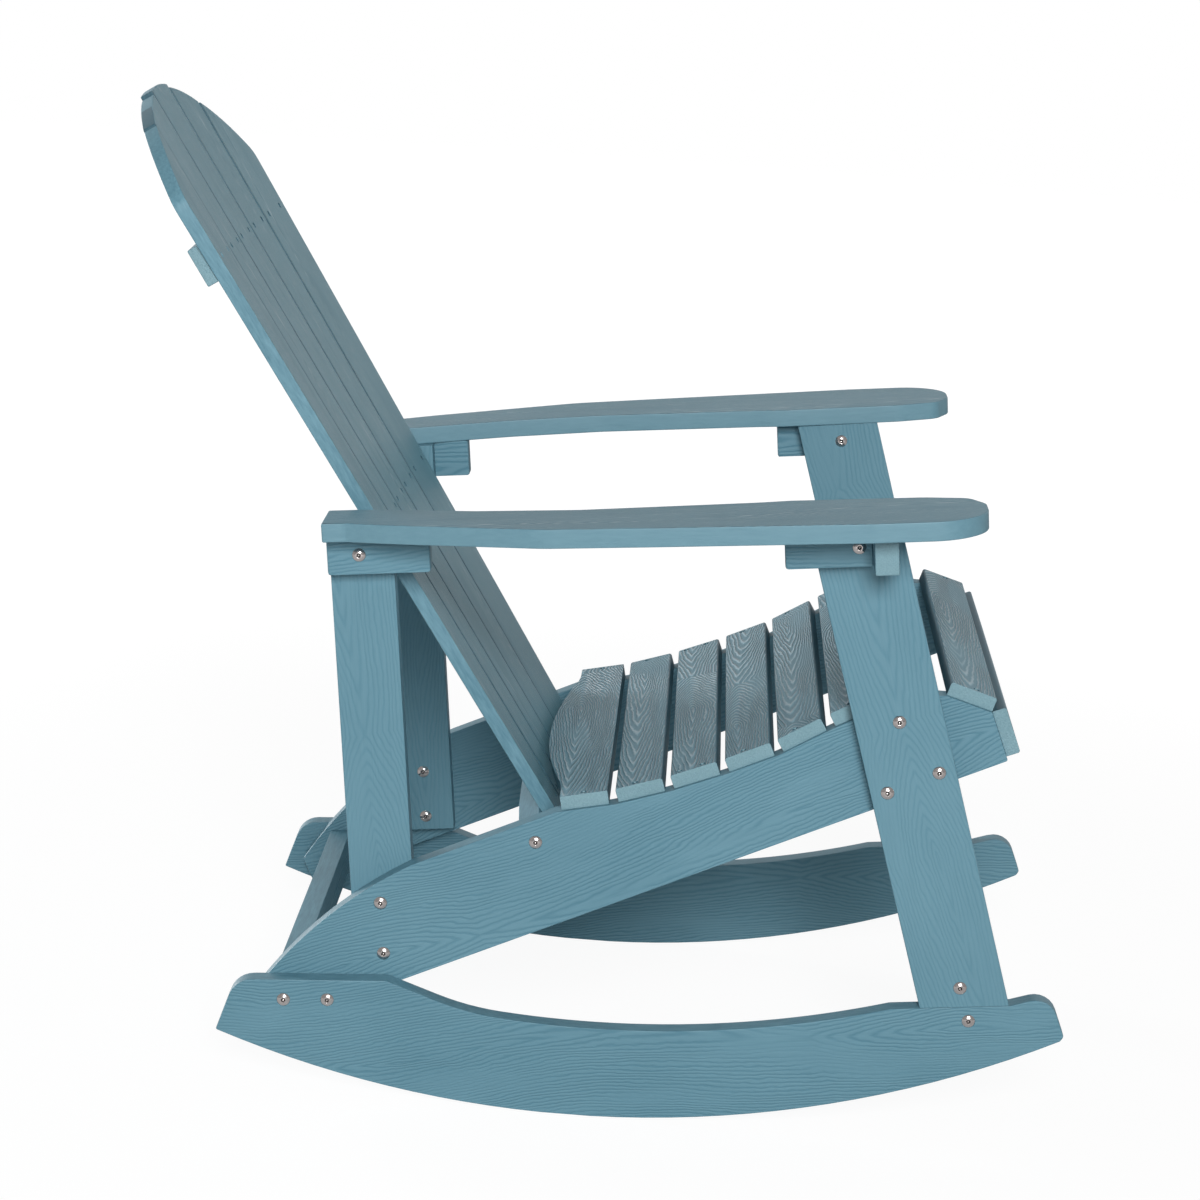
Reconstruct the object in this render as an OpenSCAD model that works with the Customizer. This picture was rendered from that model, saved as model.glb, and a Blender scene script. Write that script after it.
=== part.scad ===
// Rocking adirondack chair, built from moulded lumber boards and stainless hardware.
// Lengths are millimetres and angles degrees. The sitter faces -Y, and +X is the sitter's left.
// Each piece is drawn upright, with the centre of the rocker curve over y = 0,
// and at_rest() then leans the whole chair back onto the point that it balances on.

/* [Boards] */
// Thickness of the boards of the frame, rockers and cross supports
board_t = 21; // [18:0.5:25]
// Thickness of the armrests
arm_t = 18.7; // [16:0.1:24]
// Thickness of the seat, apron and back slats
slat_t = 14; // [11:0.5:17]
// Rounding of the long edges of the seat slats
slat_round = 2.5; // [1:0.1:4]

/* [Seat] */
// Length of the seat slats, from side to side
seat_w = 495; // [440:5:560]
// How far the side rails stand out past the slat ends
rail_show = 4.2; // [1:0.1:8]
// Width of a seat slat
slat_w = 47.5; // [42:0.5:53]
// Gap between two seat slats
slat_gap = 9; // [7:0.1:11]
// Distance of the rear slat's straight corner behind the rocker centre
seat_y = 106.9; // [95:0.1:115]
// Height of the rear slat's underside at that corner
seat_z = 314.9; // [305:0.1:325]
// How far the rear slat's curved edge swells backwards
slat_swell = 22.5; // [10:0.5:24]
// Length of that swelling edge, as a share of the slats' length
swell_share = 0.828; // [0.75:0.001:0.85]
// Rounding of the hollow corners at its ends
swell_round = 190; // [100:5:200]

/* [Side rails] */
// Width of the rail boards
rail_w = 107.5; // [95:0.5:118]
// Length of a rail along its straight lower edge
rail_len = 798; // [780:1:805]
// Slope of the rails, rising to the front
rail_slope = 18.94; // [18:0.02:20]

/* [Rockers] */
// Radius of the curve that the chair rolls on
rocker_r = 1045; // [1000:5:1100]
// Reach of the rockers in front of the curve's centre
rocker_front = 378; // [360:1:400]
// Reach of the rockers behind the curve's centre
rocker_rear = 460; // [450:1:475]
// Height of the rockers where they are slimmest
rocker_waist = 91.5; // [85:0.5:97]
// Height of the level notch that the front legs stand in
notch_z = 108.5; // [104:0.5:112]
// Backward lean at which the empty chair balances on its rockers
rest_lean = 6.4; // [0:0.05:9]
// Length of the flat on the rockers' lower edge that the chair comes to rest on
rest_flat = 50; // [40:1:60]

/* [Legs and posts] */
// Width of the front leg boards
leg_w = 86; // [75:0.5:95]
// Backward lean of the front legs
leg_lean = 11; // [9:0.1:13]
// Distance of the leg's foot centre in front of the rocker centre
leg_y = 281.2; // [275:0.1:287]
// Width of the rear post boards
post_w = 62.5; // [50:0.5:70]
// Height of the lower end of the rear posts
post_z = 158.4; // [150:0.1:165]

/* [Arms] */
// Height of the armrests' top faces
arm_z = 616.7; // [590:0.1:650]
// Length of the armrests
arm_len = 632; // [600:1:660]
// Greatest width of an armrest
arm_w = 120; // [110:0.5:130]
// How far the armrests' slimmest inner edge lies inside the rails' outer faces
arm_lap = 4.7; // [0:0.1:12]
// Height of the blocks and boards under the arms
bracket_h = 38.5; // [34:0.5:44]

/* [Back] */
// Lean of the back from upright
back_lean = 27.15; // [25:0.05:29]
// Place, behind the rocker centre, of the reference point on the back's front face
back_y = 173; // [170:0.5:180]
// Height of that reference point
back_z = 407; // [400:0.5:414]
// Width of the back at the reference point, as a share of the seat slats' length
back_share = 0.7434; // [0.7:0.001:0.77]
// Width of the back at its shoulders, as a share of the seat slats' length
shoulder_share = 0.9374; // [0.87:0.001:0.98]
// Distance of the shoulders up the slats from the reference point
shoulder_v = 575; // [560:1:590]
// Distance of the crown up the slats from the reference point
crown_v = 687; // [670:1:700]
// Radius of the arched top of the back
crown_r = 305; // [280:1:330]
// How far the middle slat is set back from the outer edges
dish = 9; // [0:0.5:14]
// Gap between two back slats
back_gap = 3.5; // [2:0.1:6]
// Depth of the lower and middle back supports
support_w = 24; // [20:0.5:28]

/* [Hardware] */
// Diameter of the bolt shanks
bolt_d = 6; // [5:0.1:7]
// Diameter of the bolt and nut heads
head_d = 13.4; // [11:0.1:15]
// Height of the domed heads
head_h = 3.2; // [2.5:0.1:4]
// Diameter of the sleeve nuts' barrels
sleeve_d = 8.4; // [8:0.1:9.5]
// Diameter of the barrel nuts in the cross supports
barrel_d = 10; // [9:0.1:12]
// Diameter of the wood screws' shanks
screw_d = 3.6; // [3:0.1:4.2]
// Diameter of the wood screws' heads
screw_head_d = 6.4; // [5.5:0.1:8]

/* [Hidden] */
$fn = 48;

// Colours of the painted lumber, its lighter cut ends and the steel
LUMBER = "#6590a0";
STEEL = "#c8c8c8";

// Sides: the sitter's left is +X
LEFT = 1;
RIGHT = -1;

// Clearance round hardware, and the reach of a cut beyond the face that it opens
fit = 0.15;
overrun = 2;
// Steps along a rounded corner, an arc and the crown of one back slat
corner_steps = 6;
arc_steps = 24;
crown_steps = 8;
half_turn = 180;

// Layers of boards outwards from the middle of the chair
rail_in = seat_w / 2 + rail_show - board_t;
rail_out = rail_in + board_t;
rocker_out = rail_out + board_t;
bracket_out = rocker_out + board_t;
post_in = rail_in - board_t;
arm_under = arm_z - arm_t;
arm_in = rail_out - arm_lap;

// Vectors in the plane of an outline
function unit(v) = v / norm(v);
function turned(v, a) = [v.x * cos(a) - v.y * sin(a), v.x * sin(a) + v.y * cos(a)];
function between(a, b, share) = a + (b - a) * share;

// Rounded form of an outline whose corners are [across, up, radius]
function corner(before, at, after) =
    let(
        p = [at[0], at[1]],
        u = unit([before[0], before[1]] - p),
        v = unit([after[0], after[1]] - p),
        half = acos(u * v) / 2,
        centre = p + unit(u + v) * at[2] / sin(half),
        start = p + u * at[2] / tan(half) - centre,
        way = u.x * v.y - u.y * v.x > 0 ? -1 : 1,
        sweep = half_turn - 2 * half
    )
    at[2] == 0 ? [p]
        : [for (i = [0:corner_steps]) centre + turned(start, way * sweep * i / corner_steps)];
function rounded(points) =
    let(n = len(points))
    [for (i = [0:n - 1]) each corner(points[(i + n - 1) % n], points[i], points[(i + 1) % n])];

// Points of an arc after a, up to b, that rises to the left of the way between them
function arc(a, b, rise) =
    let(
        chord = norm(b - a),
        r = chord * chord / (8 * rise) + rise / 2,
        centre = (a + b) / 2 + turned(unit(b - a), 90) * (rise - r),
        half = asin(chord / (2 * r))
    )
    [for (i = [1:arc_steps]) centre + turned(a - centre, -2 * half * i / arc_steps)];

// Seat: slopes of the slats from the rear one to the front one, rising to the front
slat_slopes = [6, 12, 15.8, 18.6, 25.4, 22.6, 10, -22.6];
slat_count = len(slat_slopes);
// Place of the rear lower corner of slat i, found by stepping along the slats behind it
function forward(angle) = [-cos(angle), sin(angle)];
function slat_rear(i) =
    i == 0 ? [seat_y, seat_z]
        : slat_front(i - 1) + slat_gap * forward((slat_slopes[i - 1] + slat_slopes[i]) / 2);
function slat_front(i) = slat_rear(i) + slat_w * forward(slat_slopes[i]);

// Rear edge of the rear slat: straight ends, hollow corners and one long swelling arc
swell_half = swell_share * seat_w / 2;
swell_r = (swell_half * swell_half + slat_swell * slat_swell) / (2 * slat_swell);
swell_turn = acos(1 - slat_swell / (swell_r + swell_round));
swell_start = (swell_r + swell_round) * sin(swell_turn);
swell_corner = [
    for (i = [0:corner_steps])
        let(a = swell_turn * i / corner_steps)
        [swell_start - swell_round * sin(a), swell_round - swell_round * cos(a)]
];
swell_from = swell_corner[corner_steps];
swell_to = [-swell_from.x, swell_from.y];
swell_points = concat(
    [[seat_w / 2, 0]],
    swell_corner,
    arc(swell_from, swell_to, swell_from.y - slat_swell),
    [for (i = [corner_steps - 1:-1:0]) [-swell_corner[i].x, swell_corner[i].y]],
    [[-seat_w / 2, 0]]
);

// Rail: its lower edge runs under the seat, and its upper edge carries the slats
rail_dir = [cos(rail_slope), -sin(rail_slope)];
rail_up = [sin(rail_slope), cos(rail_slope)];
rail_lip = 6;
rail_ledge = [seat_y + rail_lip, seat_z - rail_lip * tan(slat_slopes[0])];
rail_front_lean = 16;
rail_tail_round = 7;
rail_tail_h = 29.8;
rail_knee_share = 0.732;
rail_tail_rise = 14.8;
rail_top_front = slat_front(slat_count - 1);
// Foot of the sloping front end, on the lower edge
front_down = [-sin(rail_front_lean), -cos(rail_front_lean)];
rail_base = rail_ledge - rail_w * rail_up;
front_drop = ((rail_top_front - rail_base) * rail_up) / -(front_down * rail_up);
rail_foot = rail_top_front + front_drop * front_down;
rail_knee = rail_foot + rail_len * rail_knee_share * rail_dir + rail_w * rail_up;
rail_tail = rail_foot + rail_len * rail_dir + rail_tail_h * rail_up;
rail_tail_foot = rail_foot + rail_len * rail_dir;
function rail_low_z(y) = rail_foot.y - (y - rail_foot.x) * tan(rail_slope);

// Back: local places are [across, rearward, up] from the reference point
back_up = [sin(back_lean), cos(back_lean)];
back_in = [cos(back_lean), -sin(back_lean)];
function back_place(w, v) = [back_y, back_z] + w * back_in + v * back_up;
back_half = back_share * seat_w / 2;
shoulder_half = shoulder_share * seat_w / 2;
slat_foot_drop = 145;
slat_foot_v = -slat_foot_drop;
taper = (shoulder_half - back_half) / shoulder_v;
function half_at(v) = back_half + v * taper;
crown_lift = 3.5;
shoulder_round = 24;
// Edges of the slats as shares of the half width, from the middle outwards
edge_shares = [0.188, 0.552, 1];
back_slat_count = 2 * len(edge_shares) - 1;
middle_slat = len(edge_shares) - 1;
// Height at which the slats' turn and setback follow the dished back
dish_v = shoulder_v / 2;
dish_ref = half_at(dish_v);
function dish_at(share) = dish * (1 - share * share);

// Cross supports of the back
support_depth = slat_t + support_w / 2;
bracket_z = arm_under - bracket_h / 2;
mid_v = (bracket_z - back_z + support_depth * sin(back_lean)) / cos(back_lean);
mid_bolt = back_place(support_depth, mid_v);
lower_drop = 127.3;
lower_v = -lower_drop;
lower_bolt_share = 0.3;
lower_bolt = back_place(slat_t + support_w * lower_bolt_share, lower_v);
upper_v = 518.3;
upper_h = 39.6;
upper_t = 12;
upper_half_share = 0.97;

// Rear posts stand around the middle support's bolt
post_y = mid_bolt.x;
post_front = post_y - post_w / 2;
post_rear = post_y + post_w / 2;

// Front legs
leg_dir = [tan(leg_lean), 1];
leg_half = leg_w / cos(leg_lean) / 2;
function leg_at(z) = -leg_y + (z - notch_z) * tan(leg_lean);

// Rocker outline
nose_set = 12.3;
nose_h = 117.2;
nose_round = 22;
nose_foot_round = 4;
nose_foot_rise = 3.5;
nose_foot_cut = 8;
notch_clear = 0.8;
notch_rear_reach = 30;
scoop_rear_share = 0.38;
scoop_rear_z = 110;
scoop_bend_share = 0.455;
scoop_bend_z = 116.7;
scoop_bend_round = 270;
flat_front_share = 0.6215;
flat_z = 152.1;
flat_slope = 2.57;
heel_set = 23;
heel_round = 25;
nose_foot_z = rocker_r - sqrt(rocker_r * rocker_r - rocker_front * rocker_front);
heel_foot_z = rocker_r - sqrt(rocker_r * rocker_r - rocker_rear * rocker_rear);
notch_front = leg_at(notch_z) - leg_half - notch_clear;
notch_rear = leg_at(notch_z) + leg_half + notch_rear_reach;
scoop_rear = [rocker_rear * scoop_rear_share, scoop_rear_z];
scoop_sag = (scoop_rear_z + notch_z) / 2 - rocker_waist;
flat_front = rocker_rear * flat_front_share;
heel_top = [rocker_rear - heel_set, flat_z + (rocker_rear - heel_set - flat_front) * tan(flat_slope)];
// The heel's end runs on below the rolling curve, which trims it
heel_overrun = 1.3;
heel_low = between(heel_top, [rocker_rear, heel_foot_z], heel_overrun);
rocker_points = concat(
    rounded([
        [notch_front, notch_z, 0],
        [-rocker_front + nose_set, nose_h, nose_round],
        [-rocker_front, nose_foot_z + nose_foot_rise, nose_foot_round],
        [-rocker_front + nose_foot_cut, nose_foot_z - nose_foot_cut, 0],
        [-rocker_front + nose_foot_cut, -overrun, 0],
        [heel_low.x, -overrun, 0],
        [heel_low.x, heel_low.y, 0],
        [heel_top.x, heel_top.y, heel_round],
        [flat_front, flat_z, 0],
        [rocker_rear * scoop_bend_share, scoop_bend_z, scoop_bend_round],
        [scoop_rear.x, scoop_rear.y, 0]
    ]),
    arc(scoop_rear, [notch_rear, notch_z], scoop_sag)
);

// Short flat under the rockers, square to the upright at rest, where the chair stands still
rest_flat_r = sqrt(rocker_r * rocker_r - rest_flat * rest_flat / 4);
module rolling_disc() {
    translate([0, rocker_r]) difference() {
        circle(r = rocker_r, $fn = 360);
        rotate([0, 0, rest_lean]) translate([-rest_flat, -rocker_r - overrun])
            square([2 * rest_flat, rocker_r - rest_flat_r + overrun]);
    }
}

// Lean at rest, and the shift that brings the middle of the chair's length to y = 0
function leaned(p) = [
    p.x * cos(rest_lean) + (p.y - rocker_r) * sin(rest_lean),
    -p.x * sin(rest_lean) + (p.y - rocker_r) * cos(rest_lean) + rocker_r
];
nose_reach = min([for (p = rocker_points) p.x < -rocker_front / 2 ? leaned(p).x : 0]);
crown_rear = back_place(dish + slat_t, crown_v + crown_lift);
rest_shift = -(nose_reach + leaned(crown_rear).x) / 2;

// Places of the bolts through two side boards, as [across, up]
leg_bolt_drop = 19.7;
leg_bolt_spread = 27;
leg_bolt_high = 81;
notch_bolt_drop = 14.8;
notch_bolt_rise = 19.7;
notch_bolt_step = 3.6;
tail_bolt_in = 88;
tail_bolt_h = 13.2;
post_bolt_shares = [0.3, 0.76];
stretcher_t = 23;
stretcher_h = 37;
stretcher_y = 390;
stretcher_z = 136;
leg_low_z = rail_low_z(-leg_y) + leg_bolt_drop;
leg_front_bolt_z = rail_low_z(leg_at(leg_low_z) - leg_bolt_spread) + leg_bolt_drop;
leg_rear_bolt_z = rail_low_z(leg_at(leg_low_z) + leg_bolt_spread) + leg_bolt_drop;
leg_top_bolt_z = rail_low_z(leg_at(leg_low_z)) + leg_bolt_high;
leg_rail_places = [
    [leg_at(leg_front_bolt_z) - leg_bolt_spread, leg_front_bolt_z],
    [leg_at(leg_rear_bolt_z) + leg_bolt_spread, leg_rear_bolt_z],
    [leg_at(leg_top_bolt_z), leg_top_bolt_z]
];
leg_splice_place = [leg_at(notch_z + notch_bolt_rise), notch_z + notch_bolt_rise];
rocker_splice_place = [leg_at(notch_z) - notch_bolt_step, notch_z - notch_bolt_drop];
tail_place = rail_foot + (rail_len - tail_bolt_in) * rail_dir + tail_bolt_h * rail_up;
stretcher_place = [stretcher_y, stretcher_z];
post_places = [
    for (s = post_bolt_shares) [post_y, rail_low_z(post_y) + s * rail_w / cos(rail_slope)]
];
front_bracket_len = 83;
front_bracket_lead = 12.6;
front_bracket_front = leg_at(bracket_z) - front_bracket_lead;
front_bracket_place = [leg_at(bracket_z), bracket_z];
outer_places = concat(leg_rail_places, [leg_splice_place, rocker_splice_place, tail_place]);
rear_bracket_len = 100;

// Splice board inside the joint of leg and rocker
splice_w = 66;
splice_drop = 32;
splice_rise = 45;

// Arms: outline as shares of the width and the length, from the slimmest inner edge,
// with the rounding of each corner as a share of the length
arm_rear = post_rear;
arm_shares = [
    [-0.255, 1, 0.003], [-0.245, 0.945, 0.063], [-0.03, 0.77, 0.27], [0.065, 0.61, 0.22],
    [0.02, 0.34, 0.41], [-0.01, 0.29, 0], [0.04, 0.09, 0.095], [0.13, 0.022, 0.028],
    [0.36, 0, 0.047], [0.76, 0, 0.079], [1, 0.055, 0.082], [1, 0.17, 0.142],
    [0.865, 0.5, 0.41], [0.79, 0.66, 0.174], [0.41, 0.9, 0.174], [0.28, 0.965, 0.032],
    [0.275, 1, 0.003]
];
block_w = 62;
block_t = 23.3;

// Sleeve nuts, barrel nuts and their bolts
sleeve_hole = sleeve_d + 2 * fit;
shank_hole = bolt_d + 2 * fit;
grip = 2 * board_t;
sleeve_len_share = 0.9;
shank_len_share = 0.85;
socket_d = 4.6;
socket_depth = 1.8;
support_bolt_reach = 42;
barrel_in = 34;
barrel_len_share = 0.8;

// Wood screws
screw_len = 32;
screw_head_h = 2.4;
screw_hole = screw_d + 2 * fit;
screw_head_hole = screw_head_d + 2 * fit;
rail_mid = rail_out - board_t / 2;
// Screws in the ends of each seat slat, as shares of its width from the rear
seat_screw_shares = [[0.5], [0.42], [0.2, 0.7], [0.42], [0.42], [0.45], [0.5], [0.55]];
apron_screw_share = 0.45;
back_screw_share = 0.3;
// Bite of the back screws in the supports, short of the bolts inside them
back_screw_clear = 2;
back_screw_bite = support_w / 2 - bolt_d / 2 - back_screw_clear;
upper_screw_share = 0.75;
back_rows = [lower_v, mid_v, upper_v];
rear_screw_shares = [0.12, 0.75];
front_screw_shares = [0.4, 0.85];
block_screw_shares = [0.17, 0.75];
arm_screw_grip = 12;

// Places the chair on its point of rest
module at_rest() {
    translate([0, rest_shift, rest_flat_r])
        rotate([-rest_lean, 0, 0])
            translate([0, 0, -rocker_r]) children();
}

// Mirrors a piece of the left side onto the asked side
module on_side(side) {
    mirror([side == LEFT ? 0 : 1, 0, 0]) children();
}

// A flat side board: its outline lies in the plane of the side, from x_in outwards
module side_board(x_in, thickness) {
    translate([x_in, 0, 0]) rotate([90, 0, 90]) linear_extrude(thickness) children();
}

// Holes of one diameter at a list of places in a side board's outline
module holes(places, diameter) {
    for (p = places) translate(p) circle(d = diameter);
}

// Something that points inwards from a side board's outer face at x_out
module inward(x_out, place) {
    translate([x_out, place.x, place.y]) rotate([0, -90, 0]) children();
}

// Local frames of the seat slats and of the back
module on_slat(i) {
    translate([0, slat_rear(i).x, slat_rear(i).y]) rotate([-slat_slopes[i], 0, 0]) children();
}
module on_back() {
    translate([0, back_y, back_z]) rotate([-back_lean, 0, 0]) children();
}

// Domed head with a six-sided socket, standing on z = 0 and reaching to negative z
module dome_head() {
    dome_r = (head_d * head_d / 4 + head_h * head_h) / (2 * head_h);
    difference() {
        intersection() {
            translate([0, 0, dome_r - head_h]) sphere(r = dome_r);
            translate([0, 0, -head_h]) cylinder(d = head_d, h = head_h);
        }
        translate([0, 0, -head_h - overrun])
            cylinder(d = socket_d, h = socket_depth + overrun, $fn = 6);
    }
}

// Countersunk wood screw, its head flush with z = 0 and its shank along negative z
module wood_screw(length) {
    difference() {
        union() {
            translate([0, 0, -screw_head_h])
                cylinder(d1 = screw_d, d2 = screw_head_d, h = screw_head_h);
            translate([0, 0, -length]) cylinder(d = screw_d, h = length);
        }
        translate([0, 0, -screw_head_h / 2])
            cylinder(d = screw_d / 2, h = screw_head_h, $fn = 4);
    }
}

// The hole that the screw fills, a little wider all round
module screw_bore(length) {
    translate([0, 0, -screw_head_h - fit])
        cylinder(d1 = screw_hole, d2 = screw_head_hole, h = screw_head_h + fit);
    translate([0, 0, -fit / 2]) cylinder(d = screw_head_hole, h = overrun);
    translate([0, 0, -length - fit]) cylinder(d = screw_hole, h = length + fit);
}

// Screws of the seat: one or two through each end of each slat into the rail's edge
module seat_screw_sites(i) {
    for (side = [LEFT, RIGHT])
        for (share = seat_screw_shares[i])
            on_slat(i) translate([side * rail_mid, -share * slat_w, slat_t]) children();
}

// Screws of the apron, into the front ends of the rails
module apron_sites() {
    for (side = [LEFT, RIGHT])
        on_apron() translate([side * rail_mid, -slat_t, -apron_screw_share * slat_w])
            rotate([90, 0, 0]) children();
}
module on_apron() {
    translate([0, rail_top_front.x, rail_top_front.y])
        rotate([-rail_front_lean, 0, 0]) children();
}

// Screws of the back: two through each slat into each support
module back_screw_sites(i, rows) {
    for (v = rows)
        for (way = [-1, 1])
            on_back() slat_plane(i, v)
                translate([way * back_screw_share * slat_width(i, v), 0, 0])
                    rotate([90, 0, 0]) children();
}

// Screws up through the brackets and blocks into the underside of the arms
module arm_screw_sites() {
    for (s = front_screw_shares)
        bracket_screw(rocker_out + board_t / 2, front_bracket_front + s * front_bracket_len) children();
    for (s = rear_screw_shares)
        bracket_screw(rail_in + board_t / 2, post_rear - s * rear_bracket_len) children();
    for (s = block_screw_shares)
        bracket_screw(rocker_out + s * block_w, front_bracket_front - block_t / 2) children();
}
module bracket_screw(x, y) {
    translate([x, y, arm_under - bracket_h]) rotate([180, 0, 0]) children();
}

// Frame of one back slat's face, with x = 0 on the middle of the slat at height v
function slat_side(i) = sign(i - middle_slat);
function slat_from(i) =
    i == middle_slat ? -edge_shares[0] : slat_side(i) * edge_shares[abs(i - middle_slat) - 1];
function slat_to(i) =
    i == middle_slat ? edge_shares[0] : slat_side(i) * edge_shares[abs(i - middle_slat)];
function slat_width(i, v) = abs(slat_to(i) - slat_from(i)) * half_at(v) - back_gap;
function slat_yaw(i) =
    atan((dish_at(slat_to(i)) - dish_at(slat_from(i))) / ((slat_to(i) - slat_from(i)) * dish_ref));
function slat_mid(i, v) = (slat_from(i) + slat_to(i)) / 2 * half_at(v);
function slat_depth(i) = (dish_at(slat_from(i)) + dish_at(slat_to(i))) / 2;
module slat_plane(i, v) {
    translate([slat_mid(i, dish_v), slat_depth(i), v]) rotate([0, 0, slat_yaw(i)])
        translate([(slat_mid(i, v) - slat_mid(i, dish_v)) / cos(slat_yaw(i)), 0, 0]) children();
}

// Depth of the slats' rear faces at an offset x from the middle
function rear_depth(x) =
    let(
        s = abs(x) / dish_ref,
        i = middle_slat + (s < edge_shares[0] ? 0 : s < edge_shares[1] ? 1 : 2)
    )
    slat_depth(i) + (abs(x) - slat_mid(i, dish_v)) * tan(slat_yaw(i)) + slat_t / cos(slat_yaw(i));

// Rocker: rolls on a true circle, with a notch for the leg and a flat heel
module rocker(side) {
    color(LUMBER) at_rest() on_side(side) side_board(rail_out, board_t) difference() {
        intersection() {
            polygon(rocker_points);
            rolling_disc();
        }
        holes([rocker_splice_place, tail_place], sleeve_hole);
        holes([stretcher_place], shank_hole);
    }
}

// Side rail: carries the seat slats on its stepped upper edge and reaches back to the rockers
module side_rail(side) {
    color(LUMBER) at_rest() on_side(side) difference() {
        side_board(rail_in, board_t) difference() {
            polygon(concat(
                rounded([
                    [rail_foot.x, rail_foot.y, 0],
                    [rail_tail_foot.x, rail_tail_foot.y, rail_tail_round],
                    [rail_tail.x, rail_tail.y, 0]
                ]),
                arc(rail_tail, rail_knee, -rail_tail_rise),
                [rail_ledge],
                [for (i = [0:slat_count - 1]) each [slat_rear(i), slat_front(i)]]
            ));
            holes(concat(leg_rail_places, post_places, [tail_place]), sleeve_hole);
            holes([stretcher_place, lower_bolt], shank_hole);
        }
        for (i = [0:slat_count - 1]) seat_screw_sites(i) screw_bore(screw_len);
        apron_sites() screw_bore(screw_len);
    }
}

// Front leg: stands in the rocker's notch and carries the arm
module front_leg(side) {
    top = arm_under - notch_z;
    color(LUMBER) at_rest() on_side(side) side_board(rail_out, board_t) difference() {
        translate([-leg_y, notch_z]) polygon([
            [-leg_half, 0],
            [leg_half, 0],
            [leg_half + top * leg_dir.x, top],
            [-leg_half + top * leg_dir.x, top]
        ]);
        holes(concat(leg_rail_places, [leg_splice_place, front_bracket_place]), sleeve_hole);
    }
}

// Rear post: stands inside the rail and holds the arm and the back's middle support
module rear_post(side) {
    color(LUMBER) at_rest() on_side(side) side_board(post_in, board_t) difference() {
        translate([post_front, post_z]) square([post_w, arm_under - post_z]);
        holes(post_places, sleeve_hole);
        holes([mid_bolt], shank_hole);
    }
}

// Armrest: slim at the back and wide at the front, with a round nose
module arm(side) {
    points = [
        for (c = arm_shares) [arm_in + c[0] * arm_w, arm_rear - (1 - c[1]) * arm_len, c[2] * arm_len]
    ];
    color(LUMBER) at_rest() on_side(side) difference() {
        translate([0, 0, arm_under]) linear_extrude(arm_t) polygon(rounded(points));
        arm_screw_sites() screw_bore(bracket_h + arm_screw_grip);
    }
}

// Board outside the leg's top, under the arm
module front_arm_bracket(side) {
    color(LUMBER) at_rest() on_side(side) difference() {
        side_board(rocker_out, board_t) difference() {
            translate([front_bracket_front, bracket_z - bracket_h / 2])
                square([front_bracket_len, bracket_h]);
            holes([front_bracket_place], sleeve_hole);
        }
        arm_screw_sites() screw_bore(bracket_h + arm_screw_grip);
    }
}

// Cross block in front of that board, which spreads the load under the arm's wide end
module front_arm_block(side) {
    color(LUMBER) at_rest() on_side(side) difference() {
        translate([rocker_out, front_bracket_front - block_t, bracket_z - bracket_h / 2])
            cube([block_w, block_t, bracket_h]);
        arm_screw_sites() screw_bore(bracket_h + arm_screw_grip);
    }
}

// Board outside the rear post's top, under the arm
module rear_arm_bracket(side) {
    color(LUMBER) at_rest() on_side(side) difference() {
        side_board(rail_in, board_t) difference() {
            translate([post_rear - rear_bracket_len, bracket_z - bracket_h / 2])
                square([rear_bracket_len, bracket_h]);
            holes([mid_bolt], shank_hole);
        }
        arm_screw_sites() screw_bore(bracket_h + arm_screw_grip);
    }
}

// Splice board inside the joint of leg and rocker
module leg_splice(side) {
    foot = leg_at(notch_z);
    color(LUMBER) at_rest() on_side(side) side_board(rail_in, board_t) difference() {
        translate([foot - splice_w / 2, notch_z - splice_drop])
            square([splice_w, splice_drop + splice_rise]);
        holes([leg_splice_place, rocker_splice_place], sleeve_hole);
    }
}

// Section of a seat slat, with its upper edges rounded
module slat_section() {
    polygon(rounded([
        [0, 0, 0], [0, slat_t, slat_round], [-slat_w, slat_t, slat_round], [-slat_w, 0, 0]
    ]));
}

// Seat slat: the rear one has a swelling rear edge
module seat_slat(i) {
    color(LUMBER) at_rest() difference() {
        on_slat(i) {
            if (i == 0)
                linear_extrude(slat_t) polygon(concat(
                    [[-seat_w / 2, -slat_w], [seat_w / 2, -slat_w]],
                    swell_points
                ));
            else
                translate([-seat_w / 2, 0, 0]) rotate([90, 0, 90]) linear_extrude(seat_w) slat_section();
        }
        seat_screw_sites(i) screw_bore(screw_len);
    }
}

// Apron: one more slat across the rails' front ends
module front_apron() {
    color(LUMBER) at_rest() difference() {
        on_apron() translate([-seat_w / 2, 0, 0]) rotate([90, 0, 90]) linear_extrude(seat_w)
            polygon(rounded([
                [0, 0, 0], [0, -slat_w, 0], [-slat_t, -slat_w, slat_round], [-slat_t, 0, slat_round]
            ]));
        apron_sites() screw_bore(screw_len);
    }
}

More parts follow.
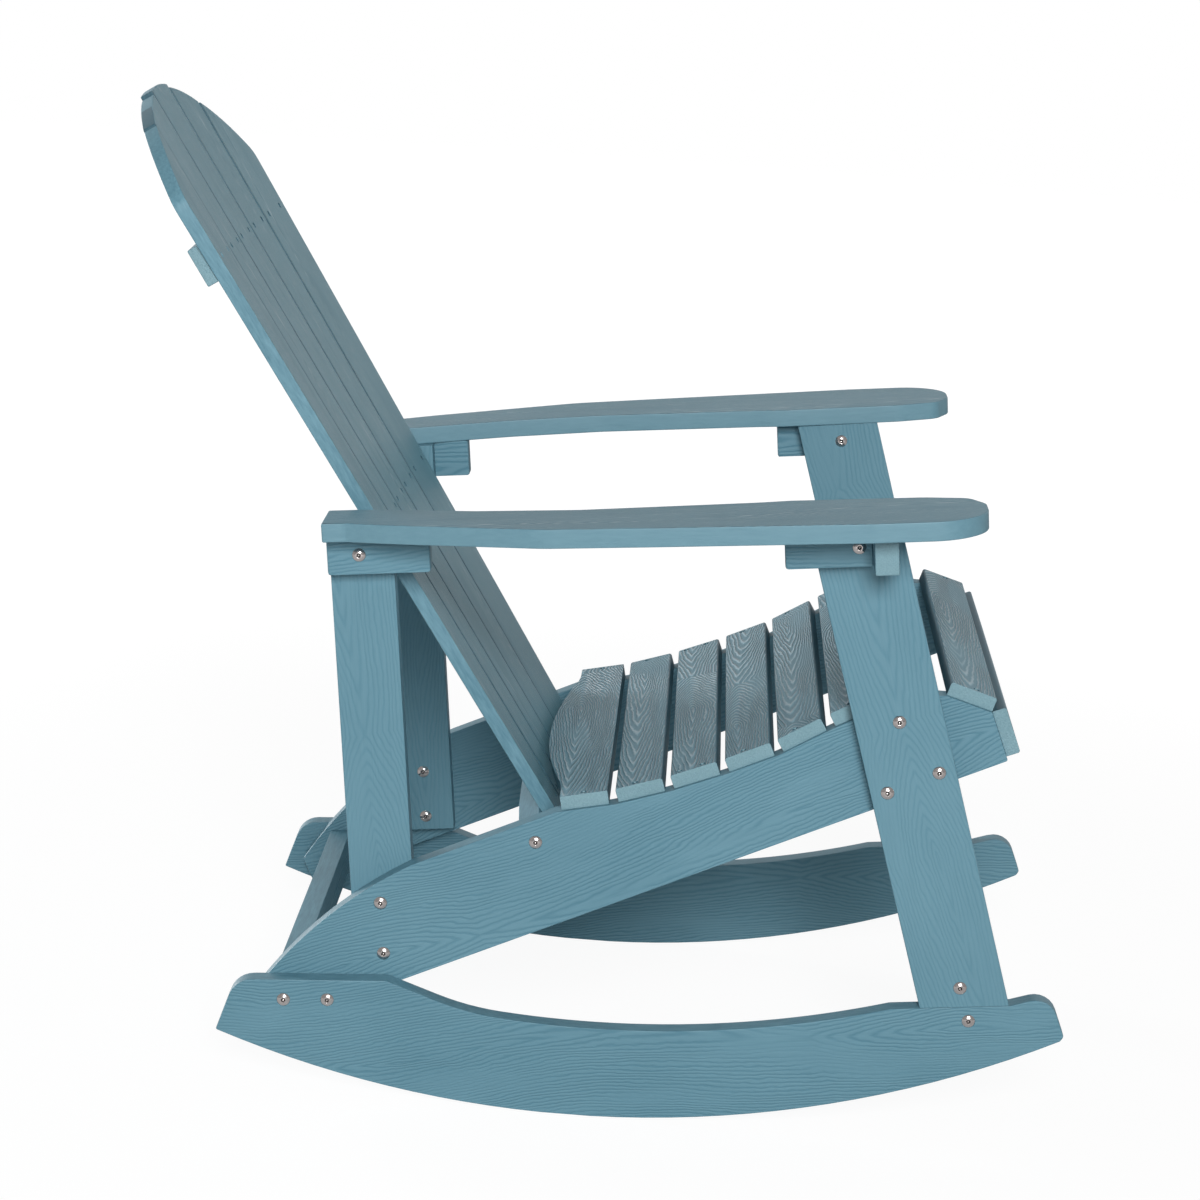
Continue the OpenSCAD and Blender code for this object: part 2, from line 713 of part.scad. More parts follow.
// Back slat: tapered, flat, turned to follow the dished back, its top on the crown's arch
module back_slat(i) {
    middle = i == middle_slat;
    side = middle ? 1 : slat_side(i);
    near = min(abs(slat_from(i)), abs(slat_to(i)));
    far = max(abs(slat_from(i)), abs(slat_to(i)));
    lift = middle ? crown_lift : 0;
    half_gap = back_gap / 2;
    inner = middle ? -far : near;
    in_low = inner * half_at(slat_foot_v) + half_gap;
    in_high = inner * half_at(crown_v) + half_gap;
    out_low = far * half_at(slat_foot_v) - half_gap;
    out_v = far == 1 ? shoulder_v : crown_v;
    out_high = far * half_at(out_v) - half_gap;
    crown = [
        for (k = [0:crown_steps])
            let(x = between(out_high, in_high, k / crown_steps))
            [x, crown_v + lift - crown_r + sqrt(crown_r * crown_r - x * x)]
    ];
    shoulder = far == 1 ? corner([out_low, slat_foot_v], [each crown[0], shoulder_round], crown[1]) : [];
    color(LUMBER) at_rest() difference() {
        on_back() mirror([side == 1 ? 0 : 1, 0, 0])
            translate([abs(slat_mid(i, dish_v)), slat_depth(i), 0])
                rotate([0, 0, side * slat_yaw(i)])
                    translate([-abs(slat_mid(i, dish_v)), slat_t, 0])
                        rotate([90, 0, 0]) linear_extrude(slat_t) polygon(concat(
                            [[in_low, slat_foot_v], [out_low, slat_foot_v]],
                            shoulder,
                            [for (k = [len(shoulder) > 0 ? 1 : 0:crown_steps]) crown[k]]
                        ));
        back_screw_sites(i, back_rows) screw_bore(slat_t + back_screw_bite);
    }
}

// Cross support: its front face follows the slats, and its rear face runs parallel
function support_line(half, extra) =
    let(
        xs = [-half, -edge_shares[1] * dish_ref, -edge_shares[0] * dish_ref,
            edge_shares[0] * dish_ref, edge_shares[1] * dish_ref, half]
    )
    [for (x = xs) [x, rear_depth(x) + extra]];
function reversed(list) = [for (i = [len(list) - 1:-1:0]) list[i]];
module support_blank(half, depth, v, height) {
    on_back() translate([0, 0, v - height / 2]) linear_extrude(height)
        polygon(concat(support_line(half, 0), reversed(support_line(half, depth))));
}

module lower_back_support() {
    color(LUMBER) at_rest() difference() {
        support_blank(rail_in, support_w, lower_v, board_t);
        for (i = [0:back_slat_count - 1])
            back_screw_sites(i, [lower_v]) screw_bore(slat_t + back_screw_bite);
        support_bolt_bore(lower_bolt, rail_in);
        barrel_sites([[lower_bolt, rail_in]]) barrel_bore(board_t);
    }
}

module mid_back_support() {
    color(LUMBER) at_rest() difference() {
        support_blank(post_in, support_w, mid_v, board_t);
        for (i = [0:back_slat_count - 1])
            back_screw_sites(i, [mid_v]) screw_bore(slat_t + back_screw_bite);
        support_bolt_bore(mid_bolt, post_in);
        barrel_sites([[mid_bolt, post_in]]) barrel_bore(board_t);
    }
}

module upper_back_support() {
    color(LUMBER) at_rest() difference() {
        support_blank(half_at(upper_v) * upper_half_share, upper_t, upper_v, upper_h);
        for (i = [0:back_slat_count - 1])
            back_screw_sites(i, [upper_v]) screw_bore(slat_t + upper_t * upper_screw_share);
    }
}

// Stretcher between the rails' tails
module rear_stretcher() {
    color(LUMBER) at_rest() difference() {
        translate([-rail_in, stretcher_y - stretcher_t / 2, stretcher_z - stretcher_h / 2])
            cube([2 * rail_in, stretcher_t, stretcher_h]);
        support_bolt_bore(stretcher_place, rail_in);
        stretcher_barrel_sites() barrel_bore(stretcher_h);
    }
}

// Bore for a bolt that enters a cross piece's end at x_end
module support_bolt_bore(place, x_end) {
    for (side = [LEFT, RIGHT])
        on_side(side) inward(x_end, place)
            translate([0, 0, -overrun]) cylinder(d = shank_hole, h = support_bolt_reach + overrun);
}

// Barrel nuts lie across the supports, square to the slats' faces
module barrel_sites(list) {
    for (item = list)
        for (side = [LEFT, RIGHT])
            translate([side * (item[1] - barrel_in), item[0].x, item[0].y])
                rotate([-back_lean, 0, 0]) children();
}
module stretcher_barrel_sites() {
    for (side = [LEFT, RIGHT])
        translate([side * (rail_in - barrel_in), stretcher_place.x, stretcher_place.y]) children();
}
// A barrel starts flush with the underside of a cross piece of the given height
module barrel(height) {
    translate([0, 0, -height / 2]) cylinder(d = barrel_d, h = height * barrel_len_share);
}
// Its hole opens through the underside
module barrel_bore(height) {
    translate([0, 0, -height / 2 - overrun])
        cylinder(d = barrel_d + 2 * fit, h = overrun + height * barrel_len_share + fit);
}

// Through bolts of the frame, with domed heads on the outer faces
module bolt_set(x_out, places) {
    for (side = [LEFT, RIGHT])
        for (p = places)
            on_side(side) inward(x_out, p) {
                dome_head();
                cylinder(d = bolt_d, h = grip * shank_len_share);
            }
}
module frame_bolts() {
    color(STEEL) at_rest() {
        bolt_set(rocker_out, outer_places);
        bolt_set(rail_out, post_places);
        bolt_set(bracket_out, [front_bracket_place]);
    }
}

// Sleeve nuts, whose domed heads show on the inner faces
module sleeve_set(x_out, places) {
    length = grip * sleeve_len_share;
    for (side = [LEFT, RIGHT])
        for (p = places)
            on_side(side) inward(x_out, p) translate([0, 0, grip]) mirror([0, 0, 1]) {
                dome_head();
                difference() {
                    cylinder(d = sleeve_d, h = length);
                    translate([0, 0, overrun]) cylinder(d = shank_hole, h = length);
                }
            }
}
module sleeve_nuts() {
    color(STEEL) at_rest() {
        sleeve_set(rocker_out, outer_places);
        sleeve_set(rail_out, post_places);
        sleeve_set(bracket_out, [front_bracket_place]);
    }
}

// Long bolts into the ends of the stretcher and the two lower supports
module support_bolt_set(x_out, x_end, place) {
    for (side = [LEFT, RIGHT])
        on_side(side) inward(x_out, place) {
            dome_head();
            cylinder(d = bolt_d, h = x_out - x_end + support_bolt_reach - fit);
        }
}
module support_bolts() {
    color(STEEL) at_rest() {
        support_bolt_set(rocker_out, rail_in, stretcher_place);
        support_bolt_set(rail_out, rail_in, lower_bolt);
        support_bolt_set(rail_out, post_in, mid_bolt);
    }
}
module barrel_nuts() {
    color(STEEL) at_rest() difference() {
        union() {
            barrel_sites([[lower_bolt, rail_in], [mid_bolt, post_in]]) barrel(board_t);
            stretcher_barrel_sites() barrel(stretcher_h);
        }
        support_bolt_bore(stretcher_place, rail_in);
        support_bolt_bore(lower_bolt, rail_in);
        support_bolt_bore(mid_bolt, post_in);
    }
}

// Wood screws
module seat_screws() {
    color(STEEL) at_rest() for (i = [0:slat_count - 1]) seat_screw_sites(i) wood_screw(screw_len);
}
module apron_screws() {
    color(STEEL) at_rest() apron_sites() wood_screw(screw_len);
}
module back_screws() {
    color(STEEL) at_rest() for (i = [0:back_slat_count - 1]) {
        back_screw_sites(i, [lower_v, mid_v]) wood_screw(slat_t + back_screw_bite);
        back_screw_sites(i, [upper_v]) wood_screw(slat_t + upper_t * upper_screw_share);
    }
}
module arm_screws() {
    color(STEEL) at_rest() for (side = [LEFT, RIGHT])
        on_side(side) arm_screw_sites() wood_screw(bracket_h + arm_screw_grip);
}

rocker(LEFT);  // rocker_left
rocker(RIGHT);  // rocker_right
side_rail(LEFT);  // side_rail_left
side_rail(RIGHT);  // side_rail_right
front_leg(LEFT);  // front_leg_left
front_leg(RIGHT);  // front_leg_right
rear_post(LEFT);  // rear_post_left
rear_post(RIGHT);  // rear_post_right
arm(LEFT);  // arm_left
arm(RIGHT);  // arm_right
front_arm_bracket(LEFT);  // front_arm_bracket_left
front_arm_bracket(RIGHT);  // front_arm_bracket_right
front_arm_block(LEFT);  // front_arm_block_left
front_arm_block(RIGHT);  // front_arm_block_right
rear_arm_bracket(LEFT);  // rear_arm_bracket_left
rear_arm_bracket(RIGHT);  // rear_arm_bracket_right
leg_splice(LEFT);  // leg_splice_left
leg_splice(RIGHT);  // leg_splice_right
seat_slat(0);  // seat_slat_1
seat_slat(1);  // seat_slat_2
seat_slat(2);  // seat_slat_3
seat_slat(3);  // seat_slat_4
seat_slat(4);  // seat_slat_5
seat_slat(5);  // seat_slat_6
seat_slat(6);  // seat_slat_7
seat_slat(7);  // seat_slat_8
front_apron();
back_slat(0);  // back_slat_1
back_slat(1);  // back_slat_2
back_slat(2);  // back_slat_3
back_slat(3);  // back_slat_4
back_slat(4);  // back_slat_5
lower_back_support();
mid_back_support();
upper_back_support();
rear_stretcher();
frame_bolts();
sleeve_nuts();
support_bolts();
barrel_nuts();
seat_screws();
apron_screws();
back_screws();
arm_screws();
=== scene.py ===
import math

import bmesh
import bpy
import numpy as np
from mathutils import Matrix, Vector


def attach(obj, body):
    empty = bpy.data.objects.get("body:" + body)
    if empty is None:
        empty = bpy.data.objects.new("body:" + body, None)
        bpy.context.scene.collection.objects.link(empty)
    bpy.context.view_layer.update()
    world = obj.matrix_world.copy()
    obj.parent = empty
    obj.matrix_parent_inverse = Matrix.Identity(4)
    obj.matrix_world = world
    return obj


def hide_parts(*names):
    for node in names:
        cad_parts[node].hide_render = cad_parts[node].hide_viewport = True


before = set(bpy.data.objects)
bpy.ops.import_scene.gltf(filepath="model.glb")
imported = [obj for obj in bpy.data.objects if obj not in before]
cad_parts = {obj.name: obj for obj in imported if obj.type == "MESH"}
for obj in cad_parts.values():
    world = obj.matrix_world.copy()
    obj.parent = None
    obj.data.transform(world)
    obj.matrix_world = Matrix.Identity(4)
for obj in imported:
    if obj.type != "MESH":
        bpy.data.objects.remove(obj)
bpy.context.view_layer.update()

# Light and ground. The chair stands on a plain white floor, in the even light of a
# studio, and is seen from its right side and a little above, by a long lens. Gloss
# shows the white backdrop beyond the chair brighter than the studio on this side.
scene = bpy.context.scene
scene.view_settings.view_transform = "Standard"

viewpoint = (-3.3444, -0.07886, 1.26519)
sight = Vector((0.972123, 0.022577, -0.233383))
upright = Vector((0.231126, 0.075279, 0.970007))
aside = sight.cross(upright)
turn = Matrix((aside, upright, -sight)).transposed().to_euler()
bpy.ops.object.camera_add(location=viewpoint, rotation=turn)
camera = bpy.context.object
camera.name = "camera"
camera.data.lens = 99.0
camera.data.sensor_width = 36.0
scene.camera = camera


class Tree:
    """The nodes of one material: part() adds any node and gives its first output,
    or the one that is named."""

    def __init__(self, owner):
        owner.use_nodes = True
        self.nodes = owner.node_tree.nodes
        self.links = owner.node_tree.links
        self.nodes.clear()

    def part(self, kind, settings=None, values=None, output=0):
        node = self.nodes.new("ShaderNode" + kind)
        for name, value in (settings or {}).items():
            setattr(node, name, value)
        for name, value in (values or {}).items():
            if isinstance(value, Socket):
                self.links.new(value.socket, node.inputs[name])
            else:
                node.inputs[name].default_value = value
        return Socket(self, node.outputs[output]) if len(node.outputs) else None


class Socket:
    """What comes out of a node. Sums, products and powers of sockets add Math nodes."""

    def __init__(self, tree, socket):
        self.tree = tree
        self.socket = socket

    def math(self, operation, first, second=0.0):
        return self.tree.part("Math", {"operation": operation}, {0: first, 1: second})

    def __add__(self, other):
        return self.math("ADD", self, other)

    def __sub__(self, other):
        return self.math("SUBTRACT", self, other)

    def __rsub__(self, other):
        return self.math("SUBTRACT", other, self)

    def __mul__(self, other):
        return self.math("MULTIPLY", self, other)

    def __truediv__(self, other):
        return self.math("DIVIDE", self, other)

    def __pow__(self, other):
        return self.math("POWER", self, other)

    __radd__ = __add__
    __rmul__ = __mul__

    def wave(self):
        """A smooth wave from 0 to 1, once for each whole number."""
        return 0.5 - 0.5 * self.math("COSINE", self * (2 * math.pi))

    def rise(self, low, high):
        """0 below low and 1 above high, with a smooth rise between."""
        return self.tree.part("MapRange", {"interpolation_type": "SMOOTHSTEP"},
                              {"Value": self, "From Min": low, "From Max": high})

    def centred(self, width):
        """What ran from 0 to 1 now runs evenly to both sides of 0, over this width."""
        return (self - 0.5) * width

    def axis(self, letter):
        """One of the three numbers of a place."""
        return self.tree.part("SeparateXYZ", values={0: self}, output=letter)

    def noise(self, fineness, detail=1.0, roughness=0.5):
        """Soft noise from 0 to 1. Fineness has a number for each of the three ways."""
        place = self.tree.part("VectorMath", {"operation": "MULTIPLY"}, {0: self, 1: fineness})
        return self.tree.part("TexNoise", values={"Vector": place, "Scale": 1.0,
                                                  "Detail": detail, "Roughness": roughness})

    def mixed(self, first, second):
        """The colour first where this is 0, and second where it is 1."""
        return self.tree.part("Mix", {"data_type": "RGBA"}, {0: self, 6: first, 7: second}, 2)


# The floor is lit only near the chair, where it keeps the shadow, and glows farther out
floor_radius = 9
floor_glow = 1.055
lit_share = 0.12
lit_until = (0.9, 3.0)
bpy.ops.object.select_all(action="DESELECT")
bpy.ops.mesh.primitive_circle_add(vertices=96, radius=floor_radius, fill_type="NGON")
floor = bpy.context.object
floor.name = "floor"
ground = bpy.data.materials.new("white_floor")
t = Tree(ground)
seen = t.part("LightPath", output="Is Camera Ray")
place = t.part("TexCoord", output="Object")
away = t.part("VectorMath", {"operation": "LENGTH"}, {0: place}, "Value").rise(*lit_until)
matt = t.part("BsdfDiffuse", values={"Color": (0.8, 0.8, 0.8, 1)})
glow = t.part("Emission", values={"Color": (1, 1, 1, 1), "Strength": floor_glow})
glowing = seen * (1 - lit_share + lit_share * away)
both = t.part("MixShader", values={0: glowing, 1: matt, 2: glow})
t.part("OutputMaterial", values={"Surface": both})
floor.data.materials.append(ground)

# Light from all round, and the share of the backdrop's white in gloss on the near side
fill = 0.13
near_gloss = 0.25
sky = bpy.data.worlds.new("studio")
scene.world = sky
t = Tree(sky)
seen = t.part("LightPath", output="Is Camera Ray")
mirrored = t.part("LightPath", output="Is Glossy Ray")
through = t.part("LightPath", output="Is Transmission Ray")
beyond = t.part("TexCoord", output="Generated").axis("X").rise(-0.3, 0.5)
direct = seen + mirrored * (near_gloss + (1 - near_gloss) * beyond) + through
strength = fill + (1 - fill) * direct.math("MINIMUM", direct, 1.0)
air = t.part("Background", values={"Color": (1, 1, 1, 1), "Strength": strength})
t.part("OutputWorld", values={"Surface": air})

chair_middle = Vector((0, 0, 0.45))
for name, place, size, power in (("softbox_side", (-7.2, -0.65, 3.65), 2.5, 550),
                                 ("softbox_rear", (2.6, 3.6, 0.95), 1.6, 120)):
    bpy.ops.object.light_add(type="AREA", location=place)
    lamp = bpy.context.object
    lamp.name = name
    lamp.data.size = size
    lamp.data.energy = power
    lamp.rotation_euler = (chair_middle - lamp.location).to_track_quat("-Z", "Y").to_euler()

# Frame boards: rockers, side rails, legs and posts. They are moulded from coloured
# plastic lumber 21 mm thick, with wood grain pressed into both broad faces and
# plain, slightly eased edges. Bolts hold them to each other, face to face.
out = Vector((1, 0, 0))
rest_lean = 6.4


def raked(degrees):
    """Up along a leg or a back that is raked rearwards, as the chair stands at rest."""
    angle = math.radians(degrees + rest_lean)
    return Vector((0, math.sin(angle), math.cos(angle)))


def sloped(degrees):
    """Rearwards along a rail or a seat that slopes down, as the chair stands at rest."""
    angle = math.radians(degrees + rest_lean)
    return Vector((0, math.cos(angle), -math.sin(angle)))


def shown(red, green, blue):
    """A colour as a screen shows it, 0 to 255, as the share of light that it gives back."""
    shares = [c / 255 for c in (red, green, blue)]
    return tuple(c / 12.92 if c < 0.04045 else ((c + 0.055) / 1.055) ** 2.4 for c in shares) + (1,)


def skin(t, color, roughness, height, relief, strength=1.0, metallic=0.0):
    """Closes a material: its colour and roughness, and the height of its relief in metres."""
    bump = t.part("Bump", values={"Height": height, "Distance": relief, "Strength": strength})
    surface = t.part("BsdfPrincipled", values={"Base Color": color, "Metallic": metallic,
                                               "Roughness": roughness, "Normal": bump})
    t.part("OutputMaterial", values={"Surface": surface})


deep = shown(66, 112, 129)
pale = shown(111, 153, 168)
# The length after which the grain comes back, and how far into it the eye lies
period = 0.56
eye = 0.42


def grain(name, spacing, relief, tint, slope, thin, wander=0.13, dark=deep, light=pale):
    """The pressed faces: growth rings round an eye, drawn out to points along the board.
    The lines are raised and lighter where tint is above 0, the lighter colour being painted sheen
    on the ridges, and sunk and darker below it, the darker colour being painted shade in the
    grooves.
    Their points are blunter with slope, they are narrower with thin, and their middle
    line strays over the board as far as wander."""
    material = bpy.data.materials.new(name)
    t = Tree(material)
    lay = t.part("Attribute", {"attribute_name": "lay"}, output="Vector")
    # How far along the board a place is from the eye, with one point longer than the other
    drift = (lay.axis("X") + lay.noise((3.0, 7.0, 3.0)).centred(0.1)) / period
    beyond = drift.math("FRACT", drift) * period - eye
    depth = beyond.math("MAXIMUM", beyond * (slope * eye / (period - eye)), beyond * -slope)
    # How far across the board it is from the middle line, which bends and is ragged
    middle = lay.noise((1.7, 0.4, 2.0)).centred(wander)
    waver = lay.noise((9.0, 45.0, 6.0)).centred(0.012)
    ragged = lay.noise((80.0, 160.0, 20.0)).centred(0.0028)
    side = lay.axis("Y") - middle + waver + ragged
    # Both together count the rings, between the diamonds of power 1 and the rounds of 2
    power, root = 1.4, 0.714
    ring = (side.math("ABSOLUTE", side) ** power + depth ** power) ** root / spacing
    ring = ring + lay.noise((4.0, 25.0, 3.0)) * 2.0
    # The press is worn to a faint line in patches
    faint = 0.28
    patch = lay.noise((6.0, 26.0, 4.0), 2.0).rise(0.32, 0.50)
    line = ring.wave() ** thin * (faint + (1 - faint) * patch)
    fibre = lay.noise((14.0, 700.0, 90.0), 3.0, 0.6)
    cloud = lay.noise((5.0, 9.0, 9.0), 2.0)
    # line * tint paints sheen on raised lines and shade in sunk ones into the colour
    tone = 0.5 + line * tint + fibre.centred(0.3) + cloud.centred(0.4)
    sign = 1 if tint > 0 else -1
    skin(t, tone.mixed(dark, light), 0.56 - sign * 0.22 * line, line * sign + fibre * 0.25, relief)
    return material


def plain(name, dark, light, streak, relief, uneven=1.0):
    """The sawn and moulded edges, and the cut ends, with a fine grit."""
    material = bpy.data.materials.new(name)
    t = Tree(material)
    lay = t.part("Attribute", {"attribute_name": "lay"}, output="Vector")
    grit = lay.noise(streak, 3.0, 0.65)
    cloud = lay.noise((7.0, 12.0, 12.0), 2.0)
    tone = 0.5 + grit.centred(1.5 * uneven) + cloud.centred(0.7 * uneven)
    skin(t, tone.mixed(dark, light), 0.52 + grit.centred(0.2), grit, relief)
    return material


board_face = grain("board_face", spacing=0.0035, relief=0.00028, tint=-0.24, slope=0.055, thin=2.0)
upright_face = grain("upright_face", spacing=0.0036, relief=0.00014, tint=-0.11, slope=0.09,
                     thin=2.4)
board_edge = plain("board_edge", deep, pale, streak=(40.0, 400.0, 400.0), relief=0.00025)
cut_end = plain("cut_end", shown(98, 135, 146), shown(127, 161, 171),
                streak=(620.0, 620.0, 620.0), relief=0.0005)


def eased(name, ease):
    """A copy of the CAD board with the rims of its outline rounded. Edges that meet make
    one outline, and those of the holes for bolts and screws are small and stay sharp."""
    merge = 0.00002
    flat = math.radians(0.4)
    bend = 0.5
    widest_hole = 0.012
    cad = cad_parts[name]
    piece = bpy.data.objects.new(name + "_board", cad.data.copy())
    scene.collection.objects.link(piece)
    bpy.ops.object.select_all(action="DESELECT")
    bpy.context.view_layer.objects.active = piece
    piece.select_set(True)
    bpy.ops.mesh.customdata_custom_splitnormals_clear()
    bpy.ops.object.mode_set(mode="EDIT")
    bpy.ops.mesh.select_all(action="SELECT")
    bpy.ops.mesh.remove_doubles(threshold=merge)
    bpy.ops.mesh.dissolve_limited(angle_limit=flat)
    bpy.ops.mesh.select_all(action="DESELECT")
    shape = bmesh.from_edit_mesh(piece.data)
    sharp = [e for e in shape.edges if len(e.link_faces) == 2 and e.calc_face_angle() > bend]
    outline = {}
    for edge in sharp:
        a, b = (outline.setdefault(v, {v}) for v in edge.verts)
        if a is not b:
            a |= b
            for v in b:
                outline[v] = a
    for edge in sharp:
        places = [v.co for v in outline[edge.verts[0]]]
        reach = max((p - places[0]).length for p in places)
        edge.select_set(reach > widest_hole)
    bmesh.update_edit_mesh(piece.data)
    bpy.ops.mesh.bevel(offset=ease, segments=2, affect="EDGES", clamp_overlap=True)
    bpy.ops.object.mode_set(mode="OBJECT")
    bpy.ops.object.shade_smooth_by_angle(angle=math.radians(35))
    weigh = piece.modifiers.new("even", "WEIGHTED_NORMAL")
    weigh.keep_sharp = True
    bpy.ops.object.modifier_apply(modifier=weigh.name)
    return piece


def board(name, along, through, face, side=board_edge, ends=None, ease=0.0012, knot=None,
          shift=0.0):
    """The eased board, with its grain laid along it and its finish on its faces, sides and
    ends. The eye lies at knot and shift, measured along and across from the middle.
    Without a knot, it falls somewhere in the middle half metre."""
    piece = eased(name, ease)
    across = through.cross(along)
    centre = sum((Vector(c) for c in piece.bound_box), Vector()) / 8
    number = sorted(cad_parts).index(name)
    if knot is None:
        knot = 0.37 * number % 0.5 - 0.25
    # Each board is cut from its own place in the pattern
    start = eye - knot + 3 * period * number
    layer = 0.3 * number
    lay = piece.data.attributes.new("lay", "FLOAT_VECTOR", "POINT")
    for vertex, item in zip(piece.data.vertices, lay.data):
        p = vertex.co - centre
        item.vector = (p.dot(along) + start, p.dot(across) - shift, p.dot(through) + layer)
    piece.data.materials.clear()
    for material in (face, side, ends or side):
        piece.data.materials.append(material)
    square = 0.8
    for polygon in piece.data.polygons:
        if abs(polygon.normal.dot(through)) > square:
            polygon.material_index = 0
        else:
            polygon.material_index = 2 if abs(polygon.normal.dot(along)) > square else 1
    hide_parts(name)
    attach(piece, "root")
    return piece


rail_slope = 18.94
leg_rake = 11
for side in ("left", "right"):
    board("rocker_" + side, sloped(0), out, board_face, ease=0.0018, knot=0.24)
    board("side_rail_" + side, -sloped(rail_slope), out, board_face, knot=-0.30)
    board("front_leg_" + side, raked(leg_rake), out, upright_face)
    board("rear_post_" + side, raked(0), out, upright_face)
    board("leg_splice_" + side, raked(0), out, board_face)

# Armrests, and the boards and blocks that carry them, of the same plastic lumber.
# Wood screws come up through the boards into the arms; the blocks show their cut
# ends to the side.
arm_face = grain("arm_face", spacing=0.0030, relief=0.00050, tint=0.30, slope=0.06, thin=2.0,
                 dark=shown(62, 107, 124), light=shown(108, 149, 164))
arm_edge = plain("arm_edge", shown(84, 125, 140), shown(112, 151, 165),
                 streak=(30.0, 300.0, 300.0), relief=0.0002, uneven=0.4)
for side in ("left", "right"):
    board("arm_" + side, sloped(0), raked(0), arm_face, side=arm_edge, ease=0.0022)
    board("front_arm_bracket_" + side, sloped(0), out, board_face, ease=0.0025)
    board("rear_arm_bracket_" + side, sloped(0), out, board_face, ease=0.0025)
    board("front_arm_block_" + side, out, sloped(0), board_face, ends=cut_end, ease=0.0020)

# Seat: eight slats and an apron across the rails, of a thinner stock whose grain
# is pressed deeper, with pale cut ends over the rails and a screw near each end.
slat_face = grain("slat_face", spacing=0.0026, relief=0.0012, tint=1.0, slope=0.085, thin=2.6,
                  wander=0.035, dark=shown(50, 100, 118), light=shown(128, 167, 181))
# The long sides of the slats and the apron are darker than their faces: painted shade of the narrow
# gaps between them.
slat_side = plain("slat_side", shown(34, 74, 88), shown(64, 106, 121),
                  streak=(40.0, 400.0, 400.0), relief=0.00025)
slat_ease = 0.0007
slopes = (6, 12, 15.8, 18.6, 25.4, 22.6, 10, -22.6)
knots = (0.09, 0.17, -0.02, -0.14, 0.21, 0.04, -0.08, 0.12)
for number, (slope, knot) in enumerate(zip(slopes, knots), 1):
    board("seat_slat_%d" % number, out, raked(slope), slat_face, side=slat_side, ends=cut_end,
          ease=slat_ease, knot=knot, shift=0.006)
apron_lean = 16
board("front_apron", out, sloped(apron_lean), slat_face, side=slat_side, ends=cut_end,
      ease=slat_ease)

# Back: five tapered slats of the thinner stock, fanned under an arched top and
# screwed to three supports. The slats at the sides are turned a little towards the
# sitter, and the sides that face another slat carry painted shade of the gaps between them.
# The back faces' colours are a little lighter than the frame boards': painted light, for faces that
# the side lamp reaches less.
back_face = grain("back_face", spacing=0.0030, relief=0.00040, tint=0.45, slope=0.05, thin=2.0,
                  dark=shown(68, 116, 132), light=shown(112, 156, 170))
back_lean = 27.15
for number in range(1, 6):
    slat = board("back_slat_%d" % number, raked(back_lean), sloped(back_lean), back_face)
    slat.data.materials.append(slat_side)
    outward = number - 3
    for polygon in slat.data.polygons:
        outermost = abs(outward) == 2 and polygon.normal.x * outward > 0
        if abs(polygon.normal.x) > 0.3 and not outermost:
            polygon.material_index = 3
for name in ("lower_back_support", "mid_back_support", "upper_back_support"):
    board(name, out, sloped(back_lean), board_face, ends=cut_end)
board("rear_stretcher", out, sloped(0), board_face, ends=cut_end)

# Hardware: domed bolts and sleeve nuts with six-sided sockets, of bright stainless
# steel, lathe-turned, with painted shade on the walls of their sockets and under their rims.
# The wood screws are drawn in a little below the face.
# The colour of the painted shade on socket walls and under head rims
painted_shade_color = (0.035, 0.032, 0.032, 1)
# Between these radii and heights the painted shade begins or ends: at the socket's wall and
# mouth, at the drilled point in its middle, and at the head's rim and foot
wall, mouth, point = (0.00195, 0.00235), (0.0018, 0.0026), (0.0005, 0.0011)
rim, foot = (0.0061, 0.0067), (0.0002, 0.0008)


def steel(name, dark, light, shade_share):
    """Turned steel, with the given share of painted shade on its socket walls."""
    material = bpy.data.materials.new(name)
    t = Tree(material)
    made = t.part("Attribute", {"attribute_name": "turned"}, output="Vector")
    radius = made.axis("X")
    height = made.axis("Y")
    spots = t.part("TexCoord", output="Object").noise((700.0, 700.0, 700.0), 2.0)
    rings = made.noise((9000.0, 9000.0, 0.0), 2.0)
    tone = 0.2 + 0.4 * rings + 0.4 * spots
    # Painted shade: dark on the socket's walls and under the head's rim, where shade falls
    hole = (1.0 - radius.rise(*wall)) * (1.0 - height.rise(*mouth)) * radius.rise(*point)
    shade_mask = hole * shade_share + radius.rise(*rim) * (1.0 - height.rise(*foot)) * 0.6
    skin(t, shade_mask.mixed(tone.mixed(dark, light), painted_shade_color), 0.12 + 0.12 * spots + 0.3 * shade_mask,
         rings + spots, relief=0.00004, strength=0.5, metallic=1.0)
    return material


stainless = steel("stainless", (0.46, 0.42, 0.41, 1), (0.74, 0.68, 0.66, 1), shade_share=0.95)
# The screws' steel is darker than the bolts': a duller metal, and partly painted shade of the holes
# they are sunk in.
screw_steel = steel("screw_steel", (0.20, 0.19, 0.185, 1), (0.40, 0.37, 0.36, 1), shade_share=0.2)


def heads(name):
    """The tip of each head in a CAD node, and the way that it faces: along the longest
    line of its solid, towards the widest end."""
    shape = bmesh.new()
    shape.from_mesh(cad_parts[name].data)
    bmesh.ops.remove_doubles(shape, verts=shape.verts, dist=0.00001)
    known = set()
    found = []
    for first in shape.verts:
        if first in known:
            continue
        known.add(first)
        solid = [first]
        for vert in solid:
            fresh = [edge.other_vert(vert) for edge in vert.link_edges]
            fresh = [v for v in fresh if v not in known]
            known.update(fresh)
            solid.extend(fresh)
        points = np.array([vert.co for vert in solid])
        middle = points.mean(axis=0)
        way = np.linalg.svd(points - middle, full_matrices=False)[2][0]
        along = (points - middle) @ way
        wide = np.linalg.norm(points - middle - np.outer(along, way), axis=1)
        if along[wide.argmax()] < 0:
            way, along = -way, -along
        found.append((Vector(middle + way * along.max()), Vector(way)))
    shape.free()
    return found


